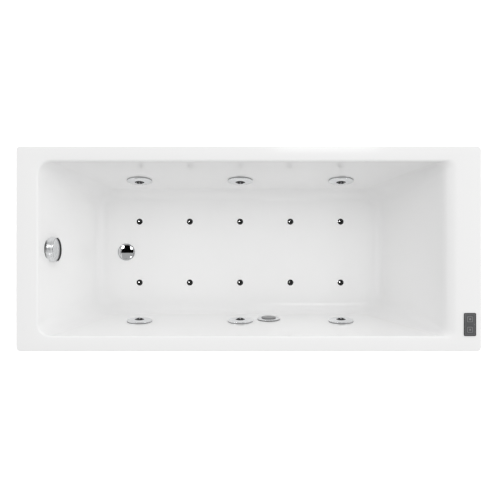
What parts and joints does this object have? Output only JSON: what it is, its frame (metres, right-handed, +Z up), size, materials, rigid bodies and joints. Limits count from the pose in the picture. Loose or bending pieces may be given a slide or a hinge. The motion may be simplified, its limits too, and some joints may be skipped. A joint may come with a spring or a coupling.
{
  "type": "jetted bathtub",
  "caption": "Rectangular built-in jetted bathtub with sloped backrest, wall jets, floor air jets, suction, pop-up drain with knob, rim keypad, pump and blower on a steel frame.",
  "frame": {"origin": "on the floor that the feet stand on, under the middle of the rim", "axes": "+X towards the backrest and keypad end, +Y towards the long side opposite the suction fitting, +Z up"},
  "size_m": [1.7, 0.75, 0.5933],
  "materials": {
    "acrylic": "high-gloss white acrylic sheet",
    "fibreglass": "rolled glass fibre and resin, rough",
    "board": "resin-sealed chipboard",
    "galvanised": "zinc-coated steel tube and plate",
    "zinc": "bright zinc-plated steel",
    "chrome": "polished chrome plate",
    "nozzle_plastic": "dark glossy plastic",
    "grey_plastic": "satin grey plastic",
    "pipe_plastic": "white rigid pipe plastic",
    "black_plastic": "moulded black plastic",
    "motor_paint": "dark grey enamelled casting",
    "box_plastic": "light grey moulded box",
    "keypad_grey": "dark grey satin keypad",
    "seal_rubber": "black sealing rubber"
  },
  "bodies": {
    "tub": {"acrylic_shell": "acrylic", "fibreglass_backing": "fibreglass", "base_board": "board", "frame_side_rails": "galvanised", "frame_cross_members": "galvanised", "rim_uprights": "galvanised", "equipment_trays": "galvanised", "foot_lock_nuts": "zinc", "jet_bodies": "pipe_plastic", "wall_fitting_nuts": "pipe_plastic", "wall_fitting_gaskets": "seal_rubber", "suction_body": "pipe_plastic", "suction_ring": "chrome", "suction_cover": "grey_plastic", "air_jet_caps": "chrome", "air_jet_bodies": "pipe_plastic", "water_manifold": "pipe_plastic", "suction_pipe": "pipe_plastic", "air_manifold": "pipe_plastic", "pump_volute": "black_plastic", "motor_housing": "motor_paint", "motor_bearings": "zinc", "motor_fan_cover": "black_plastic", "pump_mounts": "seal_rubber", "blower_housing": "black_plastic", "blower_motor": "motor_paint", "control_box": "box_plastic", "keypad_plate": "keypad_grey", "overflow_body": "pipe_plastic", "overflow_rosette": "chrome", "overflow_pipe": "pipe_plastic", "drain_flange": "chrome", "waste_body": "pipe_plastic", "waste_trap": "pipe_plastic", "plug_cable": "black_plastic"},
    "foot_1": {"levelling_foot_1": "zinc"},
    "foot_2": {"levelling_foot_2": "zinc"},
    "foot_3": {"levelling_foot_3": "zinc"},
    "foot_4": {"levelling_foot_4": "zinc"},
    "face_1": {"jet_face_1": "chrome"},
    "nozzle_1": {"jet_nozzle_1": "nozzle_plastic"},
    "face_2": {"jet_face_2": "chrome"},
    "nozzle_2": {"jet_nozzle_2": "nozzle_plastic"},
    "face_3": {"jet_face_3": "chrome"},
    "nozzle_3": {"jet_nozzle_3": "nozzle_plastic"},
    "face_4": {"jet_face_4": "chrome"},
    "nozzle_4": {"jet_nozzle_4": "nozzle_plastic"},
    "face_5": {"jet_face_5": "chrome"},
    "nozzle_5": {"jet_nozzle_5": "nozzle_plastic"},
    "face_6": {"jet_face_6": "chrome"},
    "nozzle_6": {"jet_nozzle_6": "nozzle_plastic"},
    "knob": {"overflow_knob": "chrome"},
    "plug": {"waste_plug": "chrome", "plug_seal": "seal_rubber"},
    "button_1": {"keypad_button_1": "keypad_grey"},
    "button_2": {"keypad_button_2": "keypad_grey"},
    "pump_rotor": {"pump_shaft": "zinc", "pump_impeller": "black_plastic", "motor_fan": "black_plastic"},
    "blower_rotor": {"blower_impeller": "black_plastic"}
  },
  "joints": [
    {"name": "foot_1_screw", "type": "slide", "parent": "tub", "child": "foot_1", "axis": [0, 0, -1], "range_m": [0, 0.025]},
    {"name": "foot_2_screw", "type": "slide", "parent": "tub", "child": "foot_2", "axis": [0, 0, -1], "range_m": [0, 0.025]},
    {"name": "foot_3_screw", "type": "slide", "parent": "tub", "child": "foot_3", "axis": [0, 0, -1], "range_m": [0, 0.025]},
    {"name": "foot_4_screw", "type": "slide", "parent": "tub", "child": "foot_4", "axis": [0, 0, -1], "range_m": [0, 0.025]},
    {"name": "jet_1_flow", "type": "hinge", "parent": "tub", "child": "face_1", "pos_m": [-0.4265, 0.27496, 0.35], "axis": [0, -0.9828, 0.1844], "range_deg": [0, 90]},
    {"name": "jet_1_aim", "type": "hinge", "parent": "face_1", "child": "nozzle_1", "pos_m": [-0.4265, 0.27545, 0.34991], "axis": [1, 0, 0], "range_deg": [-12, 12]},
    {"name": "jet_2_flow", "type": "hinge", "parent": "tub", "child": "face_2", "pos_m": [-0.0335, 0.27496, 0.35], "axis": [0, -0.9828, 0.1844], "range_deg": [0, 90]},
    {"name": "jet_2_aim", "type": "hinge", "parent": "face_2", "child": "nozzle_2", "pos_m": [-0.0335, 0.27545, 0.34991], "axis": [1, 0, 0], "range_deg": [-12, 12]},
    {"name": "jet_3_flow", "type": "hinge", "parent": "tub", "child": "face_3", "pos_m": [0.3595, 0.27496, 0.35], "axis": [0, -0.9828, 0.1844], "range_deg": [0, 90]},
    {"name": "jet_3_aim", "type": "hinge", "parent": "face_3", "child": "nozzle_3", "pos_m": [0.3595, 0.27545, 0.34991], "axis": [1, 0, 0], "range_deg": [-12, 12]},
    {"name": "jet_4_flow", "type": "hinge", "parent": "tub", "child": "face_4", "pos_m": [-0.4265, -0.27496, 0.35], "axis": [0, 0.9828, 0.1844], "range_deg": [0, 90]},
    {"name": "jet_4_aim", "type": "hinge", "parent": "face_4", "child": "nozzle_4", "pos_m": [-0.4265, -0.27545, 0.34991], "axis": [1, 0, 0], "range_deg": [-12, 12]},
    {"name": "jet_5_flow", "type": "hinge", "parent": "tub", "child": "face_5", "pos_m": [-0.0335, -0.27496, 0.35], "axis": [0, 0.9828, 0.1844], "range_deg": [0, 90]},
    {"name": "jet_5_aim", "type": "hinge", "parent": "face_5", "child": "nozzle_5", "pos_m": [-0.0335, -0.27545, 0.34991], "axis": [1, 0, 0], "range_deg": [-12, 12]},
    {"name": "jet_6_flow", "type": "hinge", "parent": "tub", "child": "face_6", "pos_m": [0.3595, -0.27496, 0.35], "axis": [0, 0.9828, 0.1844], "range_deg": [0, 90]},
    {"name": "jet_6_aim", "type": "hinge", "parent": "face_6", "child": "nozzle_6", "pos_m": [0.3595, -0.27545, 0.34991], "axis": [1, 0, 0], "range_deg": [-12, 12]},
    {"name": "knob_turn", "type": "hinge", "parent": "tub", "child": "knob", "pos_m": [-0.73637, 0, 0.505], "axis": [0.9848, 0, 0.1736], "range_deg": [0, 90]},
    {"name": "plug_lift", "type": "slide", "parent": "tub", "child": "plug", "axis": [0, 0, 1], "range_m": [0, 0.011]},
    {"name": "button_1_press", "type": "slide", "parent": "tub", "child": "button_1", "axis": [0, 0, -1], "range_m": [0, 0.0012], "stiffness_N_per_m": 800},
    {"name": "button_2_press", "type": "slide", "parent": "tub", "child": "button_2", "axis": [0, 0, -1], "range_m": [0, 0.0012], "stiffness_N_per_m": 800},
    {"name": "pump_spin", "type": "hinge", "parent": "tub", "child": "pump_rotor", "pos_m": [0.715, -0.06, 0.24], "axis": [0, -1, 0], "continuous": true},
    {"name": "blower_spin", "type": "hinge", "parent": "tub", "child": "blower_rotor", "pos_m": [-0.745, 0.124, 0.19], "axis": [0, 0, 1], "continuous": true}
  ],
  "couplings": [
    {"joint": "plug_lift", "follows": "knob_turn", "m_per_rad": 0.007}
  ]
}
